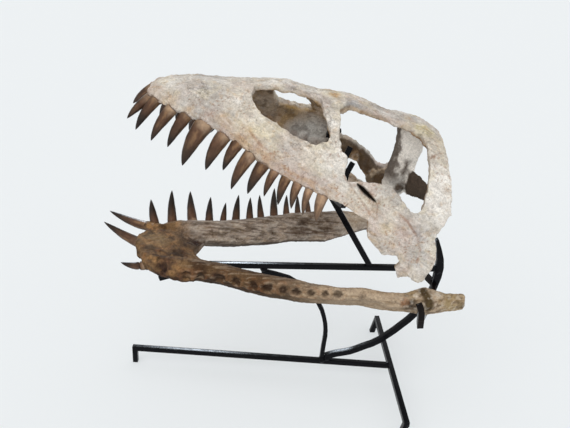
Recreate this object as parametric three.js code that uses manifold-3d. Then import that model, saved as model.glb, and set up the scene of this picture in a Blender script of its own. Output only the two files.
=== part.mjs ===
// Skull and lower jaw of a long-necked plesiosaur, held open on a welded steel display stand.
// Millimetres, +Z up. The snout points along -X and the animal's left side faces -Y.
// The origin is on the floor, under the middle of the whole piece.

import * as THREE from 'three';
import { mergeVertices } from 'three/addons/utils/BufferGeometryUtils.js';
import Module from 'manifold-3d';

const wasm = await Module();
wasm.setup();

// ---------------------------------------------------------------- driving dimensions

const GAP = 0.3; // clearance between neighbouring pieces
const BIG = 400; // reaches past the whole piece

// Places along X are measured on the stand: 0 is the middle of its crossbar.
// Heights are measured from the middle of its base bars.
const SNOUT_TIP = -273;
const SKULL_REAR = 13;
const SKULL_HALF_WIDTH = 88;
const WIDENING_START = -277; // the sides would meet here if the snout weren't blunt
const WIDENING = 0.43; // power by which the skull widens from there

const WALL = 9; // thickness of the cheek wall
const MARGIN_DEPTH = 4; // the tooth margin hangs this far below the springing of the sides
const SNOUT_END = -184; // the snout is solid in front of this place
const ROOF_HALF_WIDTH = 21; // where the roof meets the bars and cheeks beside it
const ROOF_END = -28;
const CHEEK_END = -66;
const CHEEK_TOP = 303;
const BAR_FRONT = -120;
const JOINT_BONE_FOOT = 160; // lower than any bone above the jaw joint
const CAVITY_FLOOR = 100;

// [place, height] of the roof and of the level where the sides spring, [place, thickness] of the roof.
const ROOF = [
  [-273, 332], [-263, 338], [-246, 342], [-175, 342], [-150, 342], [-135, 340],
  [-109, 334], [-81, 330], [-54, 321], [-38, 314], [-19, 311], [0, 305], [16, 294],
];
const SPRING = [
  [-273, 328], [-262, 326], [-250, 322], [-235, 318], [-218, 312], [-190, 298],
  [-150, 272], [-106, 254], [-64, 229], [0, 205],
];
const ROOF_THICKNESS = [[-184, 6], [-112, 7], [-88, 12], [-72, 9], [-50, 6], [16, 7]];

// Upper teeth of one side, front to back: [place, length, root radius].
const UPPER_TEETH = [
  [-271, 30, 4.8], [-265, 34, 5.4], [-249, 36, 6.0], [-235, 35, 6.0], [-218, 45, 8.6],
  [-200, 37, 7.2], [-188, 28, 5.8], [-175, 38, 6.4], [-163, 32, 6.2], [-153, 25, 4.6],
  [-142, 26, 5.0], [-131, 24, 4.8], [-120, 25, 4.2], [-107, 26, 5.6],
];
const FIRST_TOOTH_LIFT = 3; // the right row's first tooth grows from higher on the snout
const UPPER_LEAN = [[-271, 50], [-265, 37], [-246, 36], [-217, 30], [-163, 30], [-142, 18], [-106, 14]];
const UPPER_SPLAY = 14;

// Lower jaw, by place: half distance between the tooth rows, their height, and the depth,
// thickness and outward lean (degrees) of the bone below them.
const ROW_HALF_WIDTH = [
  [-291, 8], [-286, 24], [-276, 41], [-260, 53], [-237, 61], [-203, 64], [-171, 71], [-143, 80],
  [-115, 88], [-60, 92], [40, 89],
];
const ROW_HEIGHT = [
  [-290, 165], [-260, 158.5], [-237, 153.5], [-205, 152], [-170, 152.5], [-115, 155],
  [-85, 156.5], [-60, 160], [-26, 158], [-14, 164], [6, 163.5], [16, 158], [40, 158],
];
// How far the row lies outward of the bone's middle.
const ROW_OUT = [[-284, 2], [-262, 7], [-237, 9], [-115, 6], [-60, 2], [-24, 0]];
const JAW_DEPTH = [
  [-284, 9], [-268, 18], [-237, 26], [-213, 29], [-115, 36], [-85, 38], [-58, 33],
  [-26, 20], [-12, 28], [4, 28], [17, 19], [40, 17],
];
const JAW_THICKNESS = [
  [-284, 8], [-268, 17], [-237, 24], [-171, 23], [-115, 19], [-85, 14], [-60, 13],
  [-25, 14], [-3, 22], [14, 14], [40, 12],
];
const JAW_LEAN = [
  [-284, 20], [-262, 38], [-237, 45], [-205, 45], [-85, 44], [-58, 36], [-25, 12], [0, 5],
];
// The left side is worn away by this much along the outside of its front half.
const LEFT_WEAR = [[-280, 0], [-262, 2], [-240, 5], [-213, 7], [-195, 5], [-172, 1], [-150, 0]];
// And it's thicker by this much along the inside.
const LEFT_SWELL = [[-270, 0], [-248, 4], [-222, 5], [-200, 2], [-180, 0]];
const JAW_REAR = 37;
const SYMPHYSIS_FRONT = -293;
const SYMPHYSIS_END = -229;
const SYMPHYSIS_DEPTH = [[-293, 20], [-262, 22], [-245, 20], [-229, 16.5], [-222, 13], [-200, 11]];
const SYMPHYSIS_CROWN = [[-293, 2], [-265, 4], [-248, 0], [-229, -8], [-200, -9]]; // rise of its middle
// The gap behind it, from the left side round its end to the right: [place, side].
const NOTCH = [
  [-190, -42], [-209, -21], [-225, -5], [-233, 4], [-234, 13], [-229, 24], [-218, 35], [-205, 43], [-190, 46],
];
const WEB_END = -201; // bone fills the corners beside the notch as far as here
const WEB_HALF_WIDTH = 42;
const RAMUS_START = -282;
const JOINT_START = -24;

// Standing teeth of the right lower row, front to back: [place, length, root radius].
const LOWER_TEETH = [
  [-277, 27, 5.0], [-260, 37, 5.2], [-237, 39, 5.6], [-219, 33, 4.8], [-204, 26, 4.0],
  [-189, 35, 4.8], [-172, 30, 4.4], [-158, 31, 4.2], [-143, 37.5, 4.8], [-128, 26, 4.0],
  [-114, 23, 3.8], [-101, 21, 3.6],
];
const LOWER_FORWARD = [ // how far their tips lie forward
  [-277, 7], [-260, 3], [-237, 6], [-219, 0], [-204, -3], [-189, -3],
  [-172, 0], [-158, 3], [-143, 0], [-101, 1],
];
// The three that jut forward from the tip: where each leaves the bone, where its tip is, root radius.
const FRONT_TEETH = [
  [[-289, 36, 165], [-329, 47, 175], 5.4],
  [[-292, 14, 155], [-330, 18, 176], 5.6],
  [[-283, -25, 150], [-306, -28, 153], 4.8],
];

// Stand: square steel bars.
const BAR = 6;
const FOOT_DROP = 20; // floor below the middle of the base bars
const SPINE_LENGTH = 308;
const SPINE_TURN = 5.6;
const CROSS_HALF_LENGTH = 99;
const CROSS_TURN = 0.9;
const FOOT_SPLAY = 13;
const BEAM_HEIGHT = 136;
// Middle lines of the bent bars, foot to tip: [place, side, height]. The last three are the right-hand ones.
const ARCH = [
  [-78, 7.6, 7.2], [-66, 6.5, 12.4], [-50, 4.9, 17.2], [-33, 3.3, 26.5], [-16.6, 1.6, 36.8],
  [13, 0, 67], [31, 0, 94.5], [38, 0, 126], [37.5, 0, 149], [30.5, 0, 173],
];
const ARCH_DEPTH = [[0, 6.5], [0.7, 6.5], [0.8, 9], [0.9, 7], [1, 3]]; // by part of its length
const POST = [
  [-82.6, 8.2, 0], [-81.7, 8, 23], [-81, 6.5, 44], [-85, 5, 66.5],
  [-95.6, 3, 90], [-124, 0, 118], [-159, 0, 129],
];
const CRADLE = [
  [-93, 2, 225], [-90, 30, 232], [-86, 56, 237], [-86, 58.5, 250], [-88, 56, 264], [-80, 48, 278],
];
const CRADLE_PRONG = [[-91, 55, 268], [-89, 48, 279], [-83, 43, 292]];
const YOKE = [
  [35, 2, 116], [21, 40, 119], [1, 80, 127], [-5, 96, 129.5], [-7.5, 103, 133], [-9, 104, 149],
  [-12, 103, 157],
];

// ---------------------------------------------------------------- small tools

const vec = (x, y, z) => new THREE.Vector3(x, y, z);
const LENGTHWAYS = vec(1, 0, 0);
const SIDEWAYS = vec(0, 1, 0);

// A smooth function through [place, value] pairs in rising order, level beyond both ends.
function profile(pairs) {
  const last = pairs.length - 1;
  const slopes = pairs.map((pair, i) => {
    const before = pairs[Math.max(i - 1, 0)];
    const after = pairs[Math.min(i + 1, last)];
    return (after[1] - before[1]) / (after[0] - before[0]);
  });
  return (place) => {
    if (place <= pairs[0][0]) return pairs[0][1];
    if (place >= pairs[last][0]) return pairs[last][1];
    const i = pairs.findIndex((pair) => pair[0] > place) - 1;
    const span = pairs[i + 1][0] - pairs[i][0];
    const t = (place - pairs[i][0]) / span;
    const rise = t * t * (3 - 2 * t);
    const leave = t * (1 - t) * (1 - t) * span * slopes[i];
    const arrive = t * t * (t - 1) * span * slopes[i + 1];
    return pairs[i][1] * (1 - rise) + pairs[i + 1][1] * rise + leave + arrive;
  };
}

// Triangles that close a ring of points, in the ring's own order.
function capFaces(ring) {
  const normal = vec(0, 0, 0);
  ring.forEach((p, i) => normal.add(p.clone().cross(ring[(i + 1) % ring.length])));
  normal.normalize();
  const aside = Math.abs(normal.z) < 0.9 ? vec(0, 0, 1) : vec(1, 0, 0);
  const u = aside.cross(normal).normalize();
  const v = normal.clone().cross(u);
  const flat = ring.map((p) => new THREE.Vector2(p.dot(u), p.dot(v)));
  const turn = ([a, b, c]) => flat[b].clone().sub(flat[a]).cross(flat[c].clone().sub(flat[a]));
  const faces = THREE.ShapeUtils.triangulateShape(flat, []);
  return faces.map((face) => (turn(face) > 0 ? face : [face[0], face[2], face[1]]));
}

// A closed solid through rings that all have the same number of points.
function loft(rings) {
  const count = rings[0].length;
  const end = (rings.length - 1) * count;
  const faces = [];
  for (let start = 0; start < end; start += count) {
    for (let k = 0; k < count; k += 1) {
      const a = start + k;
      const b = start + ((k + 1) % count);
      faces.push([a, b, b + count], [a, b + count, a + count]);
    }
  }
  capFaces(rings[0]).forEach(([a, b, c]) => faces.push([a, c, b]));
  capFaces(rings[rings.length - 1]).forEach((face) => faces.push(face.map((k) => k + end)));
  const points = rings.flat();
  const volume = faces.reduce((sum, [a, b, c]) => sum + points[a].dot(points[b].clone().cross(points[c])), 0);
  const ordered = volume > 0 ? faces : faces.map(([a, b, c]) => [a, c, b]);
  const geometry = new THREE.BufferGeometry().setFromPoints(points);
  geometry.setIndex(ordered.flat());
  return solid(geometry);
}

// A manifold solid from a closed three.js geometry.
function solid(geometry) {
  geometry.deleteAttribute('normal');
  geometry.deleteAttribute('uv');
  const merged = mergeVertices(geometry, 1e-4);
  const mesh = new wasm.Mesh({
    numProp: 3,
    vertProperties: new Float32Array(merged.attributes.position.array),
    triVerts: new Uint32Array(merged.index.array),
  });
  return new wasm.Manifold(mesh);
}

const join = (solids) => solids.reduce((whole, piece) => whole.add(piece));
const mirror = (piece) => piece.mirror([0, 1, 0]);

function box(low, high) {
  const size = high.map((value, i) => value - low[i]);
  const geometry = new THREE.BoxGeometry(...size);
  geometry.translate(...low.map((value, i) => value + size[i] / 2));
  return solid(geometry);
}

// A block whose outline lies in the side view, from one side plane to another.
function sideBlock(outline, nearY, farY) {
  return loft([nearY, farY].map((y) => outline.map(([x, z]) => vec(x, y, z))));
}

// A section carried along a path with mitred bends. Its first axis keeps to the side direction.
function sweep(path, section, side) {
  const rings = path.map((point, i) => {
    const into = point.clone().sub(path[Math.max(i - 1, 0)]).normalize();
    const out = path[Math.min(i + 1, path.length - 1)].clone().sub(point).normalize();
    const along = into.clone().add(out).normalize();
    const straight = i === 0 || i === path.length - 1;
    const stretch = straight ? 1 : 1 / along.dot(out);
    const across = side.clone().addScaledVector(along, -side.dot(along)).normalize();
    const up = across.clone().cross(along);
    return section(i / (path.length - 1)).map(([a, b]) => (
      point.clone().addScaledVector(across, a).addScaledVector(up, b * stretch)));
  });
  return loft(rings);
}

function ellipse(halfWidth, halfHeight, sides) {
  return Array.from({ length: sides }, (_, k) => {
    const angle = (2 * Math.PI * k) / sides;
    return [halfWidth * Math.cos(angle), halfHeight * Math.sin(angle)];
  });
}

function rectangle(width, height) {
  const [w, h] = [width / 2, height / 2];
  return [[w, -h], [w, h], [-w, h], [-w, -h]];
}

const inFrontOf = (piece, place) => piece.intersect(box([-BIG, -BIG, -BIG], [place, BIG, BIG]));

// The piece's main body, without crumbs that cuts leave beside it.
const mainBody = (piece) => piece.decompose().sort((a, b) => b.volume() - a.volume())[0];

// The piece without all that lies within the clearance of its neighbour.
function clearOf(piece, neighbour) {
  const steps = [[GAP, 0, 0], [-GAP, 0, 0], [0, GAP, 0], [0, -GAP, 0], [0, 0, GAP], [0, 0, -GAP]];
  return steps.reduce((rest, step) => rest.subtract(neighbour.translate(step)), piece);
}

// ---------------------------------------------------------------- skull shell

const roofHeight = profile(ROOF);
const springHeight = profile(SPRING);
const roofThickness = profile(ROOF_THICKNESS);
const ARC_STEPS = 8;

function halfWidth(x) {
  const part = (x - WIDENING_START) / (SKULL_REAR - WIDENING_START);
  return SKULL_HALF_WIDTH * part ** WIDENING;
}

// A cross-section of the skull: up one side, over the roof and down the other side.
function domeRing(x, wallInset, roofInset, foot) {
  const wide = halfWidth(x) - wallInset;
  const spring = springHeight(x);
  const rise = roofHeight(x) - roofInset - spring;
  const side = [[wide - 2, foot]];
  for (let k = 0; k <= ARC_STEPS; k += 1) {
    const angle = ((k / ARC_STEPS) * Math.PI) / 2;
    side.push([wide * Math.cos(angle), spring + rise * Math.sin(angle)]);
  }
  const left = side.map(([y, z]) => vec(x, -y, z));
  const right = side.slice(0, -1).reverse().map(([y, z]) => vec(x, y, z));
  return [...left, ...right];
}

function outerDome() {
  const stations = 20;
  const rings = [];
  for (let k = 0; k <= stations; k += 1) {
    const x = SNOUT_TIP + (SKULL_REAR - SNOUT_TIP) * (k / stations) ** 1.35;
    const foot = x < CHEEK_END - 30 ? springHeight(x) - MARGIN_DEPTH : JOINT_BONE_FOOT;
    rings.push(domeRing(x, 0, 0, foot));
  }
  return loft(rings);
}

// The hollow inside the skull, smaller by the clearance where it trims the inner bones.
function cavity(clearance) {
  const stations = 10;
  const start = SNOUT_END + clearance;
  const end = SKULL_REAR + 30;
  const rings = [];
  for (let k = 0; k <= stations; k += 1) {
    const x = start + ((end - start) * k) / stations;
    rings.push(domeRing(x, WALL + clearance, roofThickness(x) + clearance, CAVITY_FLOOR));
  }
  return loft(rings);
}

// A hole through the left wall: its outline is a plan view, and its outer side flares with height.
function flaredHole(outline, inner, low, high) {
  const ring = ({ z, flare }) => outline.map(([x, y]) => vec(x, -(inner + (y - inner) * flare), z));
  return loft([ring(low), ring(high)]);
}

function smooth(outline, count) {
  const points = outline.map(([x, y]) => vec(x, y, 0));
  const curve = new THREE.CatmullRomCurve3(points, true, 'catmullrom', 0.5);
  return curve.getPoints(count).slice(0, -1).map((p) => [p.x, p.y]);
}

// Openings of the skull in plan, [place, distance from the middle], as on the left side.
const ORBIT_LEFT = [
  [-173, 13], [-176, 22], [-171, 30], [-163, 36], [-152, 40], [-140, 47], [-128, 53],
  [-117, 58], [-105, 53], [-104, 45], [-108, 30], [-113, 15], [-135, 13], [-155, 12],
];
const ORBIT_RIGHT = [
  [-150, 13], [-154, 24], [-152, 37], [-145, 45], [-133, 49], [-121, 52], [-112, 51],
  [-114, 42], [-120, 33], [-126, 23], [-136, 14],
];
const TEMPORAL_INNER = [[-94, 30], [-88, 14], [-58, 15], [-34, 17], [-20, 20], [-9, 28], [-8, 45]];
const TEMPORAL_OUTER_LEFT = [
  [-10, 63], [-13, 88], [-18, 107], [-25, 107], [-31, 97], [-39, 82],
  [-53, 69], [-84, 69], [-90, 61], [-87, 52], [-95, 46],
];
const TEMPORAL_OUTER_RIGHT = [
  [-8, 62], [-7, 86], [-14, 98], [-27, 97], [-37, 82],
  [-51, 71], [-64, 64], [-84, 59], [-90, 54], [-92, 44],
];

const orbitHole = (outline) => (
  flaredHole(smooth(outline, 18), 12, { z: 262, flare: 0.35 }, { z: 350, flare: 1.85 }));

function temporalHole(outer, low) {
  const outline = smooth([...TEMPORAL_INNER, ...outer], 28);
  return flaredHole(outline, 12, low, { z: 340, flare: 1.9 });
}

// The ragged lower edges of the cheek and of the bone above the jaw joint, in the side view.
const EDGE_FRONT = [[-112, 140], [-112, 252], [-101, 248], [-90, 245], [-77, 237]];
const EDGE_FLANGE_LEFT = [[-65, 231], [-63, 212], [-56, 205], [-47, 195], [-34, 196]];
const EDGE_FLANGE_RIGHT = [[-62, 237], [-54, 233], [-42, 216], [-35, 200]];
const EDGE_JOINT = [
  [-30, 187], [-33, 181], [-30, 170], [-21, 174], [-13, 169], [-4, 175], [4, 191],
  [3, 207], [0, 215], [1, 222], [7, 231], [11, 240], [30, 240], [30, 140],
];

function skullShell() {
  const leftEdge = sideBlock([...EDGE_FRONT, ...EDGE_FLANGE_LEFT, ...EDGE_JOINT], -120, -40);
  const rightEdge = sideBlock([...EDGE_FRONT, ...EDGE_FLANGE_RIGHT, ...EDGE_JOINT], -120, -40);
  const leftTemporal = temporalHole(TEMPORAL_OUTER_LEFT, { z: 226, flare: 0.5 });
  const rightTemporal = temporalHole(TEMPORAL_OUTER_RIGHT, { z: 222, flare: 0.75 });
  const left = join([orbitHole(ORBIT_LEFT), leftTemporal, leftEdge]);
  const right = join([orbitHole(ORBIT_RIGHT), rightTemporal, rightEdge]);
  return outerDome().subtract(cavity(0)).subtract(left).subtract(mirror(right));
}

// The shell parted by thin cuts into the pieces that carry names.
function skullPieces() {
  const shell = skullShell();
  const half = GAP / 2;
  const side = ROOF_HALF_WIDTH + GAP;
  const bar = box([BAR_FRONT, -BIG, CHEEK_TOP], [CHEEK_END - half, -side, BIG]);
  const barPlace = box([BAR_FRONT - GAP, -BIG, CHEEK_TOP - GAP], [CHEEK_END, -side, BIG]);
  const roofPlace = box([-BIG, -side, 0], [ROOF_END + half, side, BIG]);
  const roof = box([SNOUT_END + half, -ROOF_HALF_WIDTH, 0], [ROOF_END - half, ROOF_HALF_WIDTH, BIG]);
  const cheek = box([SNOUT_END + half, -BIG, 0], [CHEEK_END - half, -side, BIG]).subtract(barPlace);
  const rear = box([CHEEK_END + half, -BIG, 0], [BIG, -half, BIG]).subtract(roofPlace);
  return {
    snout: inFrontOf(shell, SNOUT_END - half),
    roof: shell.intersect(roof),
    cheekLeft: shell.intersect(cheek),
    cheekRight: shell.intersect(mirror(cheek)),
    barLeft: shell.intersect(bar),
    barRight: shell.intersect(mirror(bar)),
    rearLeft: shell.intersect(rear),
    rearRight: shell.intersect(mirror(rear)),
  };
}

// ---------------------------------------------------------------- teeth

const radians = THREE.MathUtils.degToRad;

// A curved tooth whose sides taper to a point; the bow pushes its middle out of line.
function tooth(root, tip, radius, bow) {
  const middle = root.clone().lerp(tip, 0.5).add(bow);
  const path = new THREE.QuadraticBezierCurve3(root, middle, tip).getPoints(3);
  const section = (t) => {
    const r = Math.max(radius * (1 - t * t) ** 0.75, 0.5);
    return ellipse(r, r * 0.85, 6);
  };
  return sweep(path, section, vec(1, 0.1, 0));
}

const upperLean = profile(UPPER_LEAN);

// One upper tooth; hand is -1 on the animal's left and 1 on its right.
function upperTooth([x, length, radius], hand) {
  const lean = radians(upperLean(x));
  const splay = radians(UPPER_SPLAY);
  const along = vec(-Math.sin(lean), hand * Math.sin(splay), -Math.cos(lean)).normalize();
  const lift = hand > 0 && x === UPPER_TEETH[0][0] ? FIRST_TOOTH_LIFT : 0;
  const gum = vec(x, hand * (halfWidth(x) - radius * 0.85), springHeight(x) - MARGIN_DEPTH + lift);
  const root = gum.clone().addScaledVector(along, -7);
  const tip = gum.clone().addScaledVector(along, length);
  return tooth(root, tip, radius, vec(-length * 0.13, 0, length * 0.04));
}

const upperTeeth = (hand, from, to) => (
  UPPER_TEETH.filter(([x]) => x > from && x < to).map((row) => upperTooth(row, hand)));

// The hollow above the tooth margin. Roots are cut flush with its sides.
function rootSpace() {
  const margin = [];
  for (let x = SNOUT_END; x <= CHEEK_END; x += 9) margin.push([x, springHeight(x) - MARGIN_DEPTH]);
  return cavity(0).intersect(sideBlock([...margin, [CHEEK_END, BIG], [SNOUT_END, BIG]], -BIG, BIG));
}

function cheekWithTeeth(cheek, hand) {
  const teeth = join(upperTeeth(hand, SNOUT_END + 4, BIG));
  return mainBody(cheek.add(teeth.subtract(rootSpace())));
}

// ---------------------------------------------------------------- bones inside the skull

const PALATE_END = -40;

// The palate: a plate between the cheeks that narrows to a bar behind them.
function palate() {
  const stations = 8;
  const rings = [];
  for (let k = 0; k <= stations; k += 1) {
    const x = SNOUT_END + GAP + ((PALATE_END - SNOUT_END - GAP) * k) / stations;
    const wide = x < -95 ? halfWidth(x) : THREE.MathUtils.mapLinear(x, -95, PALATE_END, 60, 13);
    const low = springHeight(x) - 3;
    const outline = [[-wide, low], [-wide, low + 7], [0, low + 9], [wide, low + 7], [wide, low]];
    rings.push(outline.map(([y, z]) => vec(x, y, z)));
  }
  return loft(rings).intersect(cavity(GAP));
}

// The braincase hangs from the rear of the roof, with the neck joint's knob behind its foot.
function braincase() {
  const start = PALATE_END + GAP;
  // Height, front, rear and half width of its sections.
  const rows = [
    [224, start, -18, 11], [238, start, -7, 14], [262, -34, -3, 13],
    [284, -30, 1, 12], [310, -30, 4, 14],
  ];
  const core = loft(rows.map(([z, front, rear, wide]) => (
    ellipse((rear - front) / 2, wide, 8).map(([a, b]) => vec((front + rear) / 2 + a, b, z)))));
  const knob = new THREE.SphereGeometry(8, 8, 6);
  knob.translate(0, 0, 237);
  const wingPath = [vec(-14, -6, 244), vec(-8, -34, 248), vec(2, -84, 252)];
  const wing = sweep(wingPath, (t) => ellipse(4, 16 - 9 * t, 8), LENGTHWAYS);
  return join([core, solid(knob), wing, mirror(wing)]).intersect(cavity(GAP));
}

// The rounded knuckle under the skull's right joint bone.
const knuckle = () => sweep(
  [vec(-12, 74, 178), vec(-12, 83, 178), vec(-12, 92, 178)],
  (t) => (t === 0.5 ? ellipse(9, 7, 8) : ellipse(5, 4, 8)),
  LENGTHWAYS,
);

// ---------------------------------------------------------------- lower jaw

const rowHalfWidth = profile(ROW_HALF_WIDTH);
const rowHeight = profile(ROW_HEIGHT);
const rowOut = profile(ROW_OUT);
const jawDepth = profile(JAW_DEPTH);
const jawThickness = profile(JAW_THICKNESS);
const jawLean = profile(JAW_LEAN);
const leftWear = profile(LEFT_WEAR);
const leftSwell = profile(LEFT_SWELL);

// Unit directions of the jaw bone's section on one side: up towards the teeth, and outwards.
function jawFrame(x, hand) {
  const lean = radians(jawLean(x));
  const up = vec(0, hand * Math.sin(lean), Math.cos(lean));
  const out = vec(0, hand * Math.cos(lean), -Math.sin(lean));
  return { up, out };
}

function ramus(hand) {
  const stations = 16;
  const rings = [];
  for (let k = 0; k <= stations; k += 1) {
    const x = RAMUS_START + ((JAW_REAR - RAMUS_START) * k) / stations;
    const { up, out } = jawFrame(x, hand);
    const wear = hand < 0 ? leftWear(x) : 0;
    const swell = hand < 0 ? leftSwell(x) : 0;
    const row = vec(x, hand * rowHalfWidth(x), rowHeight(x));
    const inward = rowOut(x) + (wear + swell) / 2;
    const centre = row.addScaledVector(up, 1 - jawDepth(x) / 2).addScaledVector(out, -inward);
    rings.push(ellipse(1, 1, 10).map(([a, b]) => {
      const across = Math.sign(a) * Math.abs(a) ** 0.7 * (jawThickness(x) - wear + swell) * 0.5;
      const rise = Math.sign(b) * Math.abs(b) ** 0.7 * jawDepth(x) * 0.5;
      return centre.clone().addScaledVector(out, across).addScaledVector(up, rise);
    }));
  }
  return loft(rings);
}

const symphysisDepth = profile(SYMPHYSIS_DEPTH);
const symphysisCrown = profile(SYMPHYSIS_CROWN);

// The fused front of the jaw: crowned between the tooth rows, hollow behind and notched.
function symphysis() {
  const stations = 8;
  const places = [];
  for (let k = 0; k <= stations; k += 1) {
    places.push(SYMPHYSIS_FRONT + (SYMPHYSIS_END - SYMPHYSIS_FRONT) * (k / stations) ** 1.4);
  }
  places.push(SYMPHYSIS_END + 7, WEB_END);
  const rings = [];
  places.forEach((x) => {
    const wide = x > SYMPHYSIS_END ? WEB_HALF_WIDTH : rowHalfWidth(x) + 3;
    const wear = x > SYMPHYSIS_END ? 0 : leftWear(x) * 1.2;
    const across = (part) => wide * part + Math.max(-part, 0) * wear;
    const top = rowHeight(x) - 1;
    const under = [0, 1, 2, 3, 4, 5, 6, 7, 8].map((step) => {
      const angle = (step / 8) * Math.PI;
      return vec(x, across(-Math.cos(angle)), top - symphysisDepth(x) * Math.sin(angle));
    });
    const over = [0.7, 0, -0.7].map((part) => (
      vec(x, across(part), top + 2 + symphysisCrown(x) * (1 - part * part))));
    rings.push([...under, ...over]);
  });
  const notch = loft([-BIG, BIG].map((z) => NOTCH.map(([x, y]) => vec(x, y, z))));
  return loft(rings).subtract(notch);
}

function jawPieces() {
  const half = GAP / 2;
  const whole = join([ramus(-1), ramus(1), symphysis()]);
  const middle = box([SYMPHYSIS_END + half, -BIG, 0], [JOINT_START - half, -half, BIG]);
  const rear = box([JOINT_START + half, -BIG, 0], [BIG, -half, BIG]);
  return {
    front: inFrontOf(whole, SYMPHYSIS_END - half),
    ramusLeft: whole.intersect(middle),
    ramusRight: whole.intersect(mirror(middle)),
    jointLeft: whole.intersect(rear),
    jointRight: whole.intersect(mirror(rear)),
  };
}

const lowerForward = profile(LOWER_FORWARD);

function lowerTooth([x, length, radius]) {
  const { up } = jawFrame(x, 1);
  const gum = vec(x, rowHalfWidth(x), rowHeight(x));
  const root = gum.clone().addScaledVector(up, -6);
  const tip = gum.clone().addScaledVector(up, length).add(vec(-lowerForward(x), 0, 0));
  return tooth(root, tip, radius, vec(-length * 0.05, 0, 0));
}

function frontTooth([gum, tip, radius]) {
  const root = vec(...gum).lerp(vec(...tip), -0.25);
  return tooth(root, vec(...tip), radius, vec(0, 0, -6));
}

const lowerTeeth = (from, to) => LOWER_TEETH.filter(([x]) => x > from && x < to).map(lowerTooth);

// ---------------------------------------------------------------- stand

const square = () => rectangle(BAR, BAR);
const spineTop = BAR / 2 + GAP;
const beamTop = BEAM_HEIGHT + BAR / 2 + GAP;
const beamFoot = BEAM_HEIGHT - BAR / 2 - GAP;

const above = (piece, level) => piece.subtract(box([-BIG, -BIG, -BIG], [BIG, BIG, level]));
const below = (piece, level) => piece.subtract(box([-BIG, -BIG, level], [BIG, BIG, BIG]));

function spine() {
  const turn = radians(SPINE_TURN);
  const along = vec(-Math.cos(turn), Math.sin(turn), 0);
  const front = along.clone().multiplyScalar(SPINE_LENGTH);
  const foot = front.clone().setZ(-FOOT_DROP);
  const bar = sweep([vec(0, 0, 0), front, foot], square, vec(Math.sin(turn), Math.cos(turn), 0));
  return bar.subtract(box([-BAR / 2 - GAP, -BIG, -BIG], [BIG, BIG, BIG]));
}

function crossbar() {
  const drop = FOOT_DROP + BAR;
  const foot = vec(-drop * Math.tan(radians(FOOT_SPLAY)), 0, -drop);
  const turn = radians(CROSS_TURN);
  const far = vec(Math.sin(turn), Math.cos(turn), 0).multiplyScalar(CROSS_HALF_LENGTH);
  const near = far.clone().negate();
  const legs = [near, far].map((end) => {
    const top = end.clone().multiplyScalar(1 - BAR / 2 / CROSS_HALF_LENGTH);
    return sweep([top, top.clone().add(foot)], square, SIDEWAYS);
  });
  return above(join([sweep([near, far], square, LENGTHWAYS), ...legs]), -FOOT_DROP);
}

// A bar bent smoothly through points.
function bentBar(points, count, section, side) {
  const curve = new THREE.CatmullRomCurve3(points.map((point) => vec(...point)), false, 'catmullrom', 0.5);
  return sweep(curve.getPoints(count), section, side);
}

const archDepth = profile(ARCH_DEPTH);
const yokeDepth = profile([[0, 6], [0.8, 6], [1, 3.5]]);

// The forked clip that reaches up inside the right cheek.
function cradle() {
  const flat = () => rectangle(5, 5);
  return join([bentBar(CRADLE, 8, flat, LENGTHWAYS), bentBar(CRADLE_PRONG, 2, flat, LENGTHWAYS)]);
}

// The upright bars, each trimmed clear of what it's welded to and of the bones that it carries.
function uprights(bones) {
  const slim = () => rectangle(5, 5);
  const post = below(above(bentBar(POST, 14, slim, SIDEWAYS), spineTop), beamFoot);
  const bow = above(bentBar(ARCH, 18, (t) => rectangle(BAR, archDepth(t)), SIDEWAYS), spineTop);
  const arch = clearOf(bow, post);
  const beamPath = [vec(40, 0, BEAM_HEIGHT), vec(-216, 0, BEAM_HEIGHT), vec(-271, 0, 118)];
  const beam = sweep(beamPath, square, SIDEWAYS);
  const strut = above(sweep([vec(-37.5, 0, 134), vec(-111.5, 0, 256)], square, SIDEWAYS), beamTop);
  const yoke = bentBar(YOKE, 11, (t) => rectangle(6, yokeDepth(t)), LENGTHWAYS);
  return {
    post,
    arch,
    beam: clearOf(beam, arch),
    strut: clearOf(strut, bones.palate),
    yokeLeft: clearOf(clearOf(mirror(yoke), arch), bones.jointLeft),
    yokeRight: clearOf(clearOf(yoke, arch), bones.jointRight),
    cradleLeft: clearOf(clearOf(mirror(cradle()), strut), bones.palate),
    cradleRight: clearOf(clearOf(cradle(), strut), bones.palate),
  };
}

// ---------------------------------------------------------------- assembly

const model = new THREE.Group();

const BONE = { color: '#cfc3b2', roughness: 0.85, metalness: 0 };
const INNER_BONE = { color: '#8f7a62', roughness: 0.9, metalness: 0 };
const JAW_BONE = { color: '#8d7355', roughness: 0.85, metalness: 0 };
const STEEL = { color: '#17181b', roughness: 0.45, metalness: 0.6 };

function addMesh(name, piece, finish) {
  const { vertProperties, triVerts } = piece.getMesh();
  const geometry = new THREE.BufferGeometry();
  geometry.setAttribute('position', new THREE.BufferAttribute(vertProperties, 3));
  geometry.setIndex(new THREE.BufferAttribute(triVerts, 1));
  geometry.computeVertexNormals();
  const mesh = new THREE.Mesh(geometry, new THREE.MeshStandardMaterial(finish));
  mesh.name = name;
  model.add(mesh);
}

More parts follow.
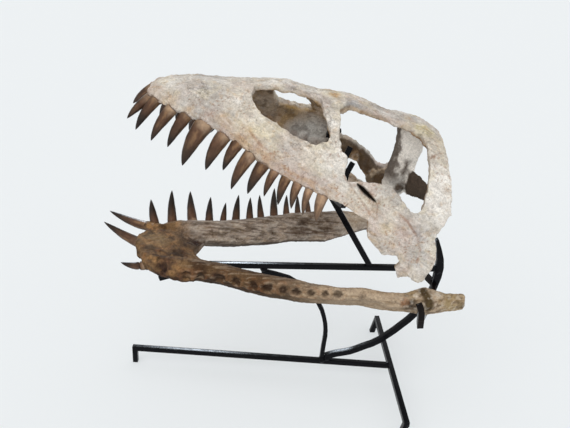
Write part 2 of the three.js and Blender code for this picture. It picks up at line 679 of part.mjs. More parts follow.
const skull = skullPieces();
const snoutTeeth = [...upperTeeth(-1, -BIG, SNOUT_END + 4), ...upperTeeth(1, -BIG, SNOUT_END + 4)];
const palateBone = palate();
addMesh('skull_snout', inFrontOf(join([skull.snout, ...snoutTeeth]), SNOUT_END - GAP / 2), BONE);
addMesh('skull_roof', skull.roof, BONE);
addMesh('skull_cheek_left', cheekWithTeeth(skull.cheekLeft, -1), BONE);
addMesh('skull_cheek_right', cheekWithTeeth(skull.cheekRight, 1), BONE);
addMesh('skull_eye_bar_left', skull.barLeft, BONE);
addMesh('skull_eye_bar_right', skull.barRight, BONE);
addMesh('skull_rear_left', skull.rearLeft.add(mirror(knuckle())), BONE);
addMesh('skull_rear_right', skull.rearRight.add(knuckle()), BONE);
addMesh('skull_palate', palateBone, INNER_BONE);
addMesh('skull_braincase', braincase(), INNER_BONE);

const jaw = jawPieces();
const frontTeeth = [...FRONT_TEETH.map(frontTooth), ...lowerTeeth(-BIG, SYMPHYSIS_END)];
addMesh('jaw_front', join([jaw.front, ...frontTeeth]), JAW_BONE);
addMesh('jaw_side_left', jaw.ramusLeft, JAW_BONE);
addMesh('jaw_side_right', join([jaw.ramusRight, ...lowerTeeth(SYMPHYSIS_END, BIG)]), JAW_BONE);
addMesh('jaw_joint_left', jaw.jointLeft, JAW_BONE);
addMesh('jaw_joint_right', jaw.jointRight, JAW_BONE);

const stand = uprights({ palate: palateBone, jointLeft: jaw.jointLeft, jointRight: jaw.jointRight });
addMesh('stand_base_spine', spine(), STEEL);
addMesh('stand_base_crossbar', crossbar(), STEEL);
addMesh('stand_arch', stand.arch, STEEL);
addMesh('stand_post', stand.post, STEEL);
addMesh('stand_beam', stand.beam, STEEL);
addMesh('stand_strut', stand.strut, STEEL);
addMesh('stand_yoke_left', stand.yokeLeft, STEEL);
addMesh('stand_yoke_right', stand.yokeRight, STEEL);
addMesh('stand_cradle_left', stand.cradleLeft, STEEL);
addMesh('stand_cradle_right', stand.cradleRight, STEEL);

// The origin moves to the floor, under the middle of the whole piece.
const bounds = new THREE.Box3().setFromObject(model);
const centre = bounds.getCenter(vec(0, 0, 0));
model.position.set(-centre.x, -centre.y, -bounds.min.z);

export default model;
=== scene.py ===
"""Looks for the fossil plesiosaur skull on its black steel stand, in metres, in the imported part's frame."""

import math

import bmesh
import bpy
import numpy as np
from mathutils import Euler, Matrix, Vector, noise


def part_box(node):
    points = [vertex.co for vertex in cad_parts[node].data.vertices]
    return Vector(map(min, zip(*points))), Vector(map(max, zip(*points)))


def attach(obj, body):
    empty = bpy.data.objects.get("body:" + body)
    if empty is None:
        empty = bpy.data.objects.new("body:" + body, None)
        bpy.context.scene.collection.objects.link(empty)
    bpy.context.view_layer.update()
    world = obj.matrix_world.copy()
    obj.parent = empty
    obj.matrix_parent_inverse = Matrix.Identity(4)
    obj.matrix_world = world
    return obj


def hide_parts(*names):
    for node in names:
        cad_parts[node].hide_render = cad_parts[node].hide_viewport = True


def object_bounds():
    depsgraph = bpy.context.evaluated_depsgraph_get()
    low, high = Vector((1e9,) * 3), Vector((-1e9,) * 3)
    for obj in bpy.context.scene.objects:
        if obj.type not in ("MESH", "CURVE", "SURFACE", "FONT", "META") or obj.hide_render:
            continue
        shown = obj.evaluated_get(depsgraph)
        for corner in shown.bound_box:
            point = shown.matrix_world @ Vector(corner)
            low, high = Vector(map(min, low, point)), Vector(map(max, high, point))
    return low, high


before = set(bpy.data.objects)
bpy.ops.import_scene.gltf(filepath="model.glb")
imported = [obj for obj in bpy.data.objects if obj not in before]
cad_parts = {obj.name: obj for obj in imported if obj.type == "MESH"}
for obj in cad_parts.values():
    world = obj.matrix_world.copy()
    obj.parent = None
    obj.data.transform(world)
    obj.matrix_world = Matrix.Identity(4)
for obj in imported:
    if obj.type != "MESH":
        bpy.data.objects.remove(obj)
CAD_LOW, CAD_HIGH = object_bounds()

# ---------------------------------------------------------------- named sizes, in millimetres

# Places are measured on the stand, as in the part: 0 is the middle of its crossbar, and heights
# are from the middle of its base bars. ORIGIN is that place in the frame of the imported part.
SPINE_GAP = 3.3  # from the rear end of the base's spine to the middle of the crossbar
BAR_HALF = 3.0  # half the thickness of a bar
SPINE_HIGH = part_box("stand_base_spine")[1]
CROSS_LOW, CROSS_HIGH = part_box("stand_base_crossbar")
ORIGIN = np.array(
    [
        SPINE_HIGH.x * 1000 + SPINE_GAP,
        (CROSS_LOW.y + CROSS_HIGH.y) * 500,
        SPINE_HIGH.z * 1000 - BAR_HALF,
    ]
)

# The skull's half width grows from its front to its rear, by a power of the way along.
SKULL_HALF_WIDTH = 88
SKULL_REAR = 13
WIDENING_START = -277
WIDENING_LENGTH = SKULL_REAR - WIDENING_START
WIDENING = 0.43
MARGIN_DEPTH = 4  # the tooth margin hangs this far below the springing of the sides
# By place, the heights of the roof's ridge and of the springing of its sides.
ROOF = [
    (-273, 332), (-263, 338), (-246, 342), (-175, 342), (-150, 342), (-135, 340),
    (-109, 334), (-81, 330), (-54, 321), (-38, 314), (-19, 311), (0, 305), (16, 294),
]
SPRING = [
    (-273, 328), (-262, 326), (-250, 322), (-235, 318), (-218, 312), (-190, 298),
    (-150, 272), (-106, 254), (-64, 229), (0, 205),
]

# Upper teeth of one side, front to back: place, length, root radius.
UPPER_TEETH = [
    (-271, 30, 4.8), (-265, 34, 5.4), (-249, 36, 6.0), (-235, 35, 6.0), (-218, 45, 8.6),
    (-200, 37, 7.2), (-188, 28, 5.8), (-175, 38, 6.4), (-163, 32, 6.2), (-153, 25, 4.6),
    (-142, 26, 5.0), (-131, 24, 4.8), (-120, 25, 4.2), (-107, 26, 5.6),
]
FIRST_TOOTH_LIFT = 3  # the right row's first tooth grows from higher on the snout
# Their lean forwards by place, and their splay outwards, in degrees.
UPPER_LEAN = [(-271, 50), (-265, 37), (-246, 36), (-217, 30), (-163, 30), (-142, 18), (-106, 14)]
UPPER_SPLAY = 14

# Lower jaw, by place: half the distance between the tooth rows, their height, and how far the
# standing teeth lean outwards, in degrees.
ROW_HALF_WIDTH = [
    (-291, 8), (-286, 24), (-276, 41), (-260, 53), (-237, 61), (-203, 64), (-171, 71), (-143, 80),
    (-115, 88), (-60, 92), (40, 89),
]
ROW_HEIGHT = [
    (-290, 165), (-260, 158.5), (-237, 153.5), (-205, 152), (-170, 152.5), (-115, 155),
    (-85, 156.5), (-60, 160), (-26, 158), (-14, 164), (6, 163.5), (16, 158), (40, 158),
]
JAW_LEAN = [
    (-284, 20), (-262, 38), (-237, 45), (-205, 45), (-85, 44), (-58, 36), (-25, 12), (0, 5),
]
# Standing teeth of the right lower row, front to back: place, length, root radius.
LOWER_TEETH = [
    (-277, 27, 5.0), (-260, 37, 5.2), (-237, 39, 5.6), (-219, 33, 4.8), (-204, 26, 4.0),
    (-189, 35, 4.8), (-172, 30, 4.4), (-158, 31, 4.2), (-143, 37.5, 4.8), (-128, 26, 4.0),
    (-114, 23, 3.8), (-101, 21, 3.6),
]
# How far their tips lie forwards, by place.
LOWER_FORWARD = [
    (-277, 7), (-260, 3), (-237, 6), (-219, 0), (-204, -3), (-189, -3),
    (-172, 0), (-158, 3), (-143, 0), (-101, 1),
]
# Teeth of the jaw's front end: gum, tip, root radius.
FRONT_TEETH = [
    ((-289, 36, 165), (-329, 47, 175), 5.4),
    ((-292, 14, 155), (-330, 18, 176), 5.6),
    ((-283, -25, 150), (-306, -28, 153), 4.8),
]
# Places of the empty sockets along the left lower row, and how far inside the row's middle they lie.
SOCKETS = [-261, -237, -223, -204, -188, -171, -157, -142, -129, -115, -101, -89]
SOCKET_INWARD = [(-260, 3), (-237, 3), (-204, 3), (-171, 0.5), (-89, 0)]
SOCKET_LIFT = 1.5  # their middles lie this far above the row
SOCKET_HALF_LENGTH = 5.6  # on average; it varies by the next value along the row
SOCKET_VARIES = 0.7
SOCKET_HALF_WIDTH = 5.8
SOCKET_HALF_HEIGHT = 8
SOCKET_DEPTH = 3.2
RIM_HEIGHT = 0.35

VOXEL = 1.1  # fineness of the jaw's skin
SKULL_VOXEL = 0.95  # and of the skull's
SMOOTHING = 6  # rounds of smoothing of a skin
SWELL = 0.25  # bones are this much fatter before they get their skin
INNER_NODES = ["skull_palate", "skull_braincase"]  # bones with a skin of their own
SKULL_COLLAR = 1.5  # height of the raised bone round each tooth
JAW_COLLAR = 1.3
CRACK_REACH = 1.8
CRACK_DEPTH = 0.6
SLIT_DEPTH = 5.0
HIDDEN_REACH = 0.4  # bone this near to a tooth, and this far past its gum, is dropped
HIDDEN_PAST = 2.0
SUNK_REACH = 1.5  # bone this near to a tooth, and this far past its gum, is sunk below its surface
SUNK_PAST = 0.5
SUNK = -0.6

TOOTH_SIDES = 28
TOOTH_RINGS = 26
TOOTH_TAPER = 0.75  # power of the taper towards the tip
TOOTH_FLATNESS = 0.87  # thickness of a tooth across, as a part of that along the row
TOOTH_COVER = 1.05  # a tooth is this much thicker than the part's plain one
TIP_REACH = 1.5  # and a standing lower one is this much longer
TIP_RADIUS = 0.15
UPPER_ROOT = 7  # depth of a root below the gum
LOWER_ROOT = 6
FRONT_ROOT = 0.25  # the same for a front tooth, as a part of its length
UPPER_INSET = 0.85  # upper teeth stand this many radii inside the skull's side
UPPER_BOW = (-0.13, 0, 0.04)  # how far a tooth's middle is out of line, as parts of its length
LOWER_BOW = -0.05
FRONT_SAG = 6  # the same for a front tooth, in millimetres
RING_CROWDING = 1.5  # power by which a tooth's rings crowd towards the tip
RIDGES = 9  # fine ridges round a tooth, their height, and how uneven it is, as parts of its radius
RIDGE_HEIGHT = 0.02
WEAR = 0.05
NEAR_STEPS = 24  # samples along a tooth in the search for the nearest one
NEAR_REACH = 14  # and how far round a tooth that search looks

EDGE = 0.6  # bevel of the bars
PRONG_EDGE = 2.3  # and of the yokes that hold the jaw
BEVEL_ANGLE = 40  # edges sharper than this many degrees are bevelled
SHARP_ANGLE = 35  # and the shading breaks at those sharper than this
# Weld beads: place and radius; and how lumpy they are, as a part of the radius.
WELDS = [
    (-82, 8, 2, 4.6), (-76, 7.5, 5, 4.4), (-3, 0, 0.5, 3.8), (37, 0, 133, 4.4), (-157, 0, 132, 4.2),
]
WELD_LUMPS = 0.12

# ---------------------------------------------------------------- small tools


def tone(red, green, blue):
    """A colour given as 0 to 255 per channel, in the linear scale that Blender's nodes use."""
    parts = [channel / 255 for channel in (red, green, blue)]
    return np.array([p / 12.92 if p <= 0.04045 else ((p + 0.055) / 1.055) ** 2.4 for p in parts])


def profile(pairs):
    """A smooth function through (place, value) pairs, level beyond both ends."""
    places = np.array([pair[0] for pair in pairs], float)
    values = np.array([pair[1] for pair in pairs], float)
    slopes = np.empty(len(pairs))
    slopes[1:-1] = (values[2:] - values[:-2]) / (places[2:] - places[:-2])
    slopes[0] = (values[1] - values[0]) / (places[1] - places[0])
    slopes[-1] = (values[-1] - values[-2]) / (places[-1] - places[-2])

    def value(place):
        x = np.clip(place, places[0], places[-1])
        i = np.clip(np.searchsorted(places, x, side="right") - 1, 0, len(pairs) - 2)
        span = places[i + 1] - places[i]
        t = (x - places[i]) / span
        rise = t * t * (3 - 2 * t)
        leave = t * (1 - t) ** 2 * span * slopes[i]
        arrive = t * t * (t - 1) * span * slopes[i + 1]
        return values[i] * (1 - rise) + values[i + 1] * rise + leave + arrive

    return value


def ramp(start, end, value):
    """0 at the start and before it, 1 at the end and after it, and smooth between. Either may be lower."""
    t = np.clip((value - start) / (end - start), 0, 1)
    return t * t * (3 - 2 * t)


def fbm(points, size, seed, octaves=4, stretch=(1, 1, 1)):
    """Smooth noise from about -1 to 1, with features of a size in millimetres."""
    scaled = points / (size * np.array(stretch)) + np.array([7.3, 3.1, 5.7]) * seed
    return np.array([noise.fractal(Vector(p), 1.0, 2.0, octaves) for p in scaled.tolist()])


def metres(points):
    """Points given in the stand's millimetres, in the part's frame."""
    return (np.asarray(points, float) + ORIGIN) / 1000


def add_object(name, mesh):
    piece = bpy.data.objects.new(name, mesh)
    bpy.context.scene.collection.objects.link(piece)
    return piece


def read_points(mesh, what="co"):
    """The mesh's vertices in metres, or their normals."""
    source = mesh.vertices if what == "co" else mesh.vertex_normals
    values = np.empty(len(mesh.vertices) * 3, np.float32)
    source.foreach_get("co" if what == "co" else "vector", values)
    return values.reshape(-1, 3).astype(float)


def write_points(mesh, points):
    mesh.vertices.foreach_set("co", np.ascontiguousarray(points, np.float32).ravel())
    mesh.update()


def write_colours(mesh, name, colours):
    attribute = mesh.color_attributes.new(name, "FLOAT_COLOR", "POINT")
    full = np.ones((len(mesh.vertices), 4), np.float32)
    full[:, :3] = np.clip(colours, 0, 1)
    attribute.data.foreach_set("color", full.ravel())


def settled(piece):
    """Applies the piece's modifiers."""
    graph = bpy.context.evaluated_depsgraph_get()
    mesh = bpy.data.meshes.new_from_object(piece.evaluated_get(graph))
    piece.modifiers.clear()
    old = piece.data
    piece.data = mesh
    bpy.data.meshes.remove(old)
    mesh.name = piece.name


def welded_copy(names):
    """The surfaces of CAD nodes in one mesh, with each corner's vertices joined."""
    cage = bmesh.new()
    for name in names:
        part = bmesh.new()
        part.from_mesh(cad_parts[name].data)
        bmesh.ops.remove_doubles(part, verts=part.verts, dist=1e-6)
        mesh = bpy.data.meshes.new("part")
        part.to_mesh(mesh)
        cage.from_mesh(mesh)
        bpy.data.meshes.remove(mesh)
        part.free()
    return cage


def stand_place(mesh):
    """The mesh's points in the stand's millimetres."""
    return read_points(mesh) * 1000 - ORIGIN


def move_along_normals(piece, amount):
    """Moves each vertex by an amount in millimetres, staying inside the CAD part's box."""
    mesh = piece.data
    moved = read_points(mesh) + read_points(mesh, "normal") * amount[:, None] / 1000
    write_points(mesh, np.clip(moved, np.array(CAD_LOW), np.array(CAD_HIGH)))


def drop_faces(mesh, hidden):
    """Removes the faces whose corners are all hidden."""
    cage = bmesh.new()
    cage.from_mesh(mesh)
    doomed = [f for f in cage.faces if all(hidden[v.index] for v in f.verts)]
    bmesh.ops.delete(cage, geom=doomed, context="FACES")
    cage.to_mesh(mesh)
    cage.free()


def mix(base, other, part):
    """The base colour blended towards another by a part for each point."""
    return base * (1 - part[:, None]) + other * part[:, None]


def spot(points, centre, radius):
    """1 at the centre of a soft spot, 0 outside it."""
    return 1 - ramp(0.2 * radius, radius, np.linalg.norm(points - np.array(centre, float), axis=1))


def seam(points, path, radius):
    """1 on a broken line through places, 0 farther from it than the radius."""
    nearest = np.full(len(points), np.inf)
    for start, end in zip(np.array(path[:-1], float), np.array(path[1:], float)):
        span = end - start
        part = np.clip((points - start) @ span / (span @ span), 0, 1)
        gap = np.linalg.norm(points - start - part[:, None] * span, axis=1)
        nearest = np.minimum(nearest, gap)
    return 1 - ramp(0.35 * radius, radius, nearest)


def relief_light_and_shade(tint, relief, amount):
    """The tint with painted light and shade from the relief: lighter where it is high, darker and browner
    where low.
    """
    low = np.clip(-relief, 0, 1)[:, None]
    return tint * (1 + amount * relief[:, None]) * (1 - low * amount * np.array([0.2, 0.5, 0.9]))


def grain(points, direction, size, stretch, seed, octaves=4):
    """Noise drawn out along a direction, like the fibres of bone."""
    along = np.array(direction, float) / np.linalg.norm(direction)
    length = points @ along
    squeezed = points - (length * (1 - 1 / stretch))[:, None] * along
    return fbm(squeezed, size, seed, octaves)


def patched(tint, points, patches):
    """The tint with soft patches: colour, strength, noise where one starts and is full, size, seed."""
    for shade, strength, start, full, size, seed in patches:
        tint = mix(tint, shade, strength * ramp(start, full, fbm(points, size, seed)))
    return tint


def stained(tint, points, stains, wander=1):
    """The tint with soft round stains: place, radius, colour, strength."""
    for centre, radius, shade, strength in stains:
        tint = mix(tint, shade, np.clip(strength * spot(points, centre, radius) * wander, 0, 1))
    return tint


# ---------------------------------------------------------------- colours of bone, teeth and steel

CREAM = tone(202, 193, 180)
PALE = tone(234, 229, 221)
GREY = tone(166, 160, 154)
BLUISH = tone(150, 151, 154)
OCHRE = tone(186, 150, 106)
PINK = tone(194, 174, 164)
YELLOW = tone(208, 194, 162)
OLIVE = tone(186, 172, 128)
RUST = tone(140, 96, 66)
# dark of cracks and pores, also used for painted shade where teeth leave the bone
CRACK_AND_SHADE = tone(70, 54, 42)
# dark specks, and painted shade inside the skull
DARK_SPECK_AND_SHADE = tone(62, 46, 32)
# painted shadow inside the slit of the cheek
SLIT_SHADOW = tone(22, 16, 12)
BROWN = tone(150, 122, 92)
GOLD = tone(172, 140, 84)
SLATE = tone(208, 207, 202)
INSIDE = tone(186, 166, 142)
JAW_OCHRE = tone(128, 100, 70)
JAW_BRIGHT = tone(170, 130, 86)
JAW_DARK = tone(66, 48, 34)
JAW_GREY = tone(178, 166, 154)
JAW_PALE = tone(180, 160, 136)
JAW_TAN = tone(156, 136, 102)
PURPLE = tone(54, 40, 38)
# painted shade on the jaw's underside, and a dark stain near its joint
UNDERSIDE_SHADE_AND_STAIN = tone(34, 25, 20)
SOCKET_DARK = tone(46, 32, 24)
CUP_DARK = tone(80, 66, 44)
CHALK = tone(214, 204, 190)
TOOTH_TIP = tone(36, 28, 23)
TOOTH_MID = tone(88, 62, 45)
TOOTH_ROOT = tone(166, 140, 114)
TOOTH_TAN = tone(150, 120, 84)
TOOTH_RED = tone(124, 84, 66)
STEEL_DARK = tone(5, 5, 7)
STEEL_LIGHT = tone(13, 13, 17)
WORN_LIGHT = tone(30, 22, 18)

# Patches of bone: colour, strength, noise where one starts and is full, size, seed.
SKULL_PATCHES = [
    (GREY, 0.6, -0.1, 0.4, 46, 11), (PALE, 0.5, 0.0, 0.4, 26, 12), (PINK, 0.35, 0.05, 0.4, 19, 13),
]
SKULL_SPECKS = [(YELLOW, 0.3, 0.15, 0.45, 13, 15), (OCHRE, 0.3, 0.3, 0.6, 7, 16)]
INSIDE_PATCHES = [(BROWN, 1, -0.2, 0.25, 20, 31), (GOLD, 0.5, 0.1, 0.45, 13, 32)]
INSIDE_SPECKS = [(DARK_SPECK_AND_SHADE, 0.4, 0.1, 0.4, 9, 34), (GREY, 0.4, 0.2, 0.5, 5, 33)]
JAW_PATCHES = [(JAW_DARK, 0.8, 0.0, 0.4, 22, 65), (RUST, 0.4, 0.1, 0.45, 12, 66)]

# Soft stains on the outside of the skull: place on the left side, radius, colour, strength.
STAINS = [
    ((-172, -54, 302), 32, YELLOW, 0.8), ((-203, -44, 316), 11, OCHRE, 0.6),
    ((-180, -52, 306), 12, OCHRE, 0.4), ((-113, -63, 288), 26, YELLOW, 0.4),
    ((-99, -4, 333), 18, YELLOW, 0.8), ((-97, -8, 331), 9, OCHRE, 0.9),
    ((-8, -22, 304), 18, OLIVE, 0.9), ((10, -31, 294), 16, YELLOW, 0.6),
    ((-76, -75, 245), 24, YELLOW, 0.4), ((-30, -82, 222), 26, PINK, 0.7),
    ((-55, -79, 226), 16, PINK, 0.6), ((-26, -83, 180), 9, RUST, 0.6),
    ((-78, -15, 323), 13, BLUISH, 1.0), ((-57, -17, 316), 9, RUST, 0.5),
    ((-47, -18, 312), 9, RUST, 0.6), ((1, -72, 250), 34, PALE, 1.0),
    ((2, -66, 274), 24, PALE, 0.8), ((-229, -28, 335), 38, GREY, 0.5),
    ((-97, -62, 290), 22, PALE, 1.0), ((-150, -50, 320), 22, YELLOW, 0.3),
    ((-140, -62, 285), 30, PINK, 0.4), ((-255, -28, 326), 12, OCHRE, 0.35),
    ((-102, -45, 318), 14, PALE, 0.9), ((-60, -76, 243), 14, BLUISH, 0.4),
    ((-128, -70, 270), 12, PINK, 0.6), ((-170, -56, 297), 12, PINK, 0.5),
    ((-15, -84, 195), 16, BLUISH, 0.45), ((-35, -82, 198), 14, PINK, 0.5),
    ((-48, -79, 226), 12, YELLOW, 0.7), ((-60, -76, 240), 9, OCHRE, 0.35),
    ((-14, -84, 222), 14, BLUISH, 0.5), ((4, -84, 205), 14, YELLOW, 0.6),
    ((-40, -80, 208), 6, OCHRE, 0.4), ((-66, -75, 262), 12, PINK, 0.6),
]
# Stains on the inside of the far side of the skull.
INSIDE_STAINS = [
    ((-132, 53, 308), 22, GOLD, 0.8), ((-158, 45, 304), 22, CREAM, 0.6),
    ((-108, 60, 270), 34, SLATE, 1), ((-126, 60, 265), 26, SLATE, 1),
]
# Stains of the jaw.
JAW_STAINS = [
    ((-262, -51, 158), 13, PURPLE, 0.9), ((-206, -59, 155), 10, PURPLE, 0.8),
    ((-244, -54, 154), 10, PURPLE, 0.6), ((-46, 77, 145), 28, JAW_GREY, 1.0),
    ((-262, -40, 145), 20, PURPLE, 0.8), ((-241, 18, 152), 20, JAW_DARK, 0.8),
    ((-230, 26, 150), 15, PURPLE, 0.8), ((-275, 0, 160), 26, JAW_TAN, 0.4),
    ((-247, -12, 157), 16, JAW_DARK, 0.6), ((-254, -47, 165), 12, PURPLE, 0.6),
    ((-112, 62, 149), 26, JAW_DARK, 0.6), ((-84, 74, 151), 24, JAW_DARK, 0.7),
    ((-45, 88, 158), 24, JAW_PALE, 0.8), ((-18, -90, 161), 10, JAW_TAN, 0.9),
    ((24, -94, 155), 22, JAW_TAN, 1.0), ((9, -92, 160), 6, CHALK, 0.6),
    ((-14, -94, 164), 5, CHALK, 0.7), ((-18, -98, 151), 11, UNDERSIDE_SHADE_AND_STAIN, 1.0),
    ((-24, -96, 154), 7, RUST, 0.7), ((33, -96, 150), 8, CUP_DARK, 0.5),
    ((-66, -93, 158), 6, JAW_DARK, 0.6),
]
# Cracks and seams on the left side, and the dark slit in the rear of the cheek.
SEAMS = [
    [(-272, -16, 325), (-265, -22, 326), (-261, -26, 323), (-256, -29, 320)],
    [(-246, -34, 317), (-240, -36, 316), (-235, -38, 314), (-227, -41, 311)],
    [(-219, -44, 310), (-212, -46, 308), (-205, -48, 306)],
    [(-38, -79, 241), (-28, -81, 233), (-19, -83, 220), (-13, -84, 206), (-14, -84, 192)],
    [(-90, -69, 273), (-82, -72, 261), (-68, -75, 245), (-64, -77, 238)],
    [(-10, -54, 286), (-1, -48, 289), (9, -40, 289)],
    [(-178, -52, 307), (-167, -57, 295), (-158, -60, 290), (-150, -61, 286)],
]
SLIT = [(-78, -71, 266), (-72, -72, 261), (-66, -74, 256), (-58, -75, 249)]
SLIT_HALF_WIDTH = ([-78, -72, -66, -58], [0.8, 3.0, 2.6, 0.8])  # places, and half widths there
MARGIN_RUN = (0.82, 0, -0.57)  # direction of the fibres of the cheek
ALONG_JAW = (1, 0, 0)
# The worn cup of the left jaw joint, and a healed break of the far side.
CUP = [(-7, -90, 166), (-4, -96, 162), (-1, -99, 156), (0, -99, 150)]
FAR_SEAM = [(-145, 44, 161), (-146, 50, 152), (-147, 52, 142)]

# ---------------------------------------------------------------- shapes of the teeth

roof_height = profile(ROOF)
spring_height = profile(SPRING)
row_half_width = profile(ROW_HALF_WIDTH)
row_height = profile(ROW_HEIGHT)
jaw_lean = profile(JAW_LEAN)
upper_lean = profile(UPPER_LEAN)
socket_inward = profile(SOCKET_INWARD)
lower_forward = profile(LOWER_FORWARD)


def half_width(x):
    """Half the skull's width at a place along it."""
    part = np.clip((x - WIDENING_START) / WIDENING_LENGTH, 1e-6, None)
    return SKULL_HALF_WIDTH * part**WIDENING


# A tooth's shape is its root, its tip, its root radius, its bow, and where along it the gum lies.


def tooth_radius(radius, part):
    """The radius of a tooth at a part of its length."""
    return radius * max(1 - part * part, 0) ** TOOTH_TAPER


def tooth_line(shape, part):
    """The middle of a curved tooth at a part of its length, and its direction there."""
    root, tip, _, bow, _ = shape
    middle = root.lerp(tip, 0.5) + bow
    point = root * (1 - part) ** 2 + middle * 2 * part * (1 - part) + tip * part * part
    along = ((middle - root) * (1 - part) + (tip - middle) * part).normalized()
    return point, along


def near_teeth(points, shapes):
    """How far outside the nearest tooth each point lies, and how far past the gum along that tooth."""
    outside = np.full(len(points), 99.0)
    past = np.full(len(points), 99.0)
    for shape in shapes:
        parts = np.linspace(0, 1, NEAR_STEPS)
        middles = np.array([tooth_line(shape, part)[0] for part in parts])
        radii = np.array([tooth_radius(shape[2], part) for part in parts])
        places = (parts - shape[4]) * (shape[1] - shape[0]).length
        close = (points > middles.min(0) - NEAR_REACH) & (points < middles.max(0) + NEAR_REACH)
        rows = np.flatnonzero(close.all(1))
        gaps = np.linalg.norm(points[rows, None] - middles[None], axis=2) - radii
        nearest = gaps.argmin(1)
        gap = gaps[np.arange(len(rows)), nearest]
        better = gap < outside[rows]
        outside[rows[better]] = gap[better]
        past[rows[better]] = places[nearest[better]]
    return outside, past


def upper_tooth(x, length, radius, hand):
    """One upper tooth; hand is -1 on the animal's left and 1 on its right."""
    lean = math.radians(upper_lean(x))
    splay = math.radians(UPPER_SPLAY)
    along = Vector((-math.sin(lean), hand * math.sin(splay), -math.cos(lean))).normalized()
    lift = FIRST_TOOTH_LIFT if hand > 0 and x == UPPER_TEETH[0][0] else 0
    gum = Vector((x, hand * (half_width(x) - radius * UPPER_INSET), spring_height(x) - MARGIN_DEPTH + lift))
    bow = Vector([part * length for part in UPPER_BOW])
    return gum - along * UPPER_ROOT, gum + along * length, radius, bow, UPPER_ROOT / (UPPER_ROOT + length)


def lower_tooth(x, length, radius):
    """One standing tooth of the right lower row."""
    lean = math.radians(jaw_lean(x))
    up = Vector((0, math.sin(lean), math.cos(lean)))
    gum = Vector((x, row_half_width(x), row_height(x)))
    tip = gum + up * (length + TIP_REACH) - Vector((lower_forward(x), 0, 0))
    bow = Vector((LOWER_BOW * length, 0, 0))
    return gum - up * LOWER_ROOT, tip, radius, bow, LOWER_ROOT / (LOWER_ROOT + length)


def front_tooth(gum, tip, radius):
    """One tooth of the jaw's front end."""
    gum, tip = Vector(gum), Vector(tip)
    bow = Vector((0, 0, -FRONT_SAG))
    return gum.lerp(tip, -FRONT_ROOT), tip, radius, bow, FRONT_ROOT / (1 + FRONT_ROOT)


UPPER_SHAPES = [upper_tooth(*row, hand) for hand in (-1, 1) for row in UPPER_TEETH]
STANDING_SHAPES = [lower_tooth(*row) for row in LOWER_TEETH]
FRONT_SHAPES = [front_tooth(*row) for row in FRONT_TEETH]
LOWER_SHAPES = STANDING_SHAPES + FRONT_SHAPES


# ---------------------------------------------------------------- bones

# In the tints below, ramp(a, b, x) fades a colour in from place a to place b.


def fused(name, nodes, voxel):
    """One skin over several CAD nodes, with the thin cuts between them healed."""
    cage = welded_copy(nodes)
    bmesh.ops.recalc_face_normals(cage, faces=cage.faces)
    cage.normal_update()
    for vertex in cage.verts:
        vertex.co += vertex.normal * SWELL / 1000
    mesh = bpy.data.meshes.new(name)
    cage.to_mesh(mesh)
    cage.free()
    piece = add_object(name, mesh)
    remesh = piece.modifiers.new("skin", "REMESH")
    remesh.mode = "VOXEL"
    remesh.voxel_size = voxel / 1000
    smooth = piece.modifiers.new("smooth", "SMOOTH")
    smooth.factor = 0.5
    smooth.iterations = SMOOTHING
    settled(piece)
    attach(piece, "root")
    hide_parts(*nodes)
    return piece


def drop_inside_teeth(mesh, shapes):
    """Removes the faces of a bone that lie inside its finer teeth."""
    outside, past = near_teeth(stand_place(mesh), shapes)
    drop_faces(mesh, (outside < HIDDEN_REACH) & (past > HIDDEN_PAST))


def collar(outside, past, height):
    """A low collar of bone round each tooth."""
    return height * (1 - ramp(-1, 5, outside)) * (1 - ramp(-3, 1, past))


def raise_bone(piece, amount, outside, past):
    """Moves the bone out by an amount, and sinks what would show through its teeth."""
    toothy = (outside < SUNK_REACH) & (past > SUNK_PAST)
    move_along_normals(piece, np.where(toothy, SUNK, amount))


def gum_shade_tint(tint, outside, past, width):
    """The tint, with painted shade in the crease where each tooth leaves the bone."""
    return mix(tint, CRACK_AND_SHADE, 0.8 * (1 - ramp(0.0, width, outside)) * (1 - ramp(1.5, 3.0, np.abs(past))))


def finish_bone(piece, tint, bone):
    write_colours(piece.data, "Tint", tint)
    piece.data.shade_smooth()
    piece.data.materials.clear()
    piece.data.materials.append(bone)


# ---------------------------------------------------------------- skull


def shell_depth(points):
    """How far a point of the skull lies below its outer skin, in millimetres."""
    x, y, z = points.T
    spring = spring_height(x)
    above = np.maximum(z - spring, 0)
    level = np.sqrt((y / half_width(x)) ** 2 + (above / (roof_height(x) - spring)) ** 2)
    reach = np.sqrt(y**2 + above**2)
    return reach * (1 / np.maximum(level, 0.05) - 1)


def skull_relief(points):
    """Lumps, ridges along the cheek and fine pits of the outer bone, from about -1 to 1."""
    ridges = grain(points, MARGIN_RUN, 3.6, 6, 4)
    return 0.8 * fbm(points, 9, 2) + 0.6 * ridges + 0.35 * fbm(points, 3, 3)


def margin_band(points):
    """1 along the upper tooth margin behind the snout, 0 above it and at its ends."""
    x, _, z = points.T
    band = ramp(22, 8, z - spring_height(x)) * ramp(-215, -190, x)
    return band * ramp(-40, -70, x)


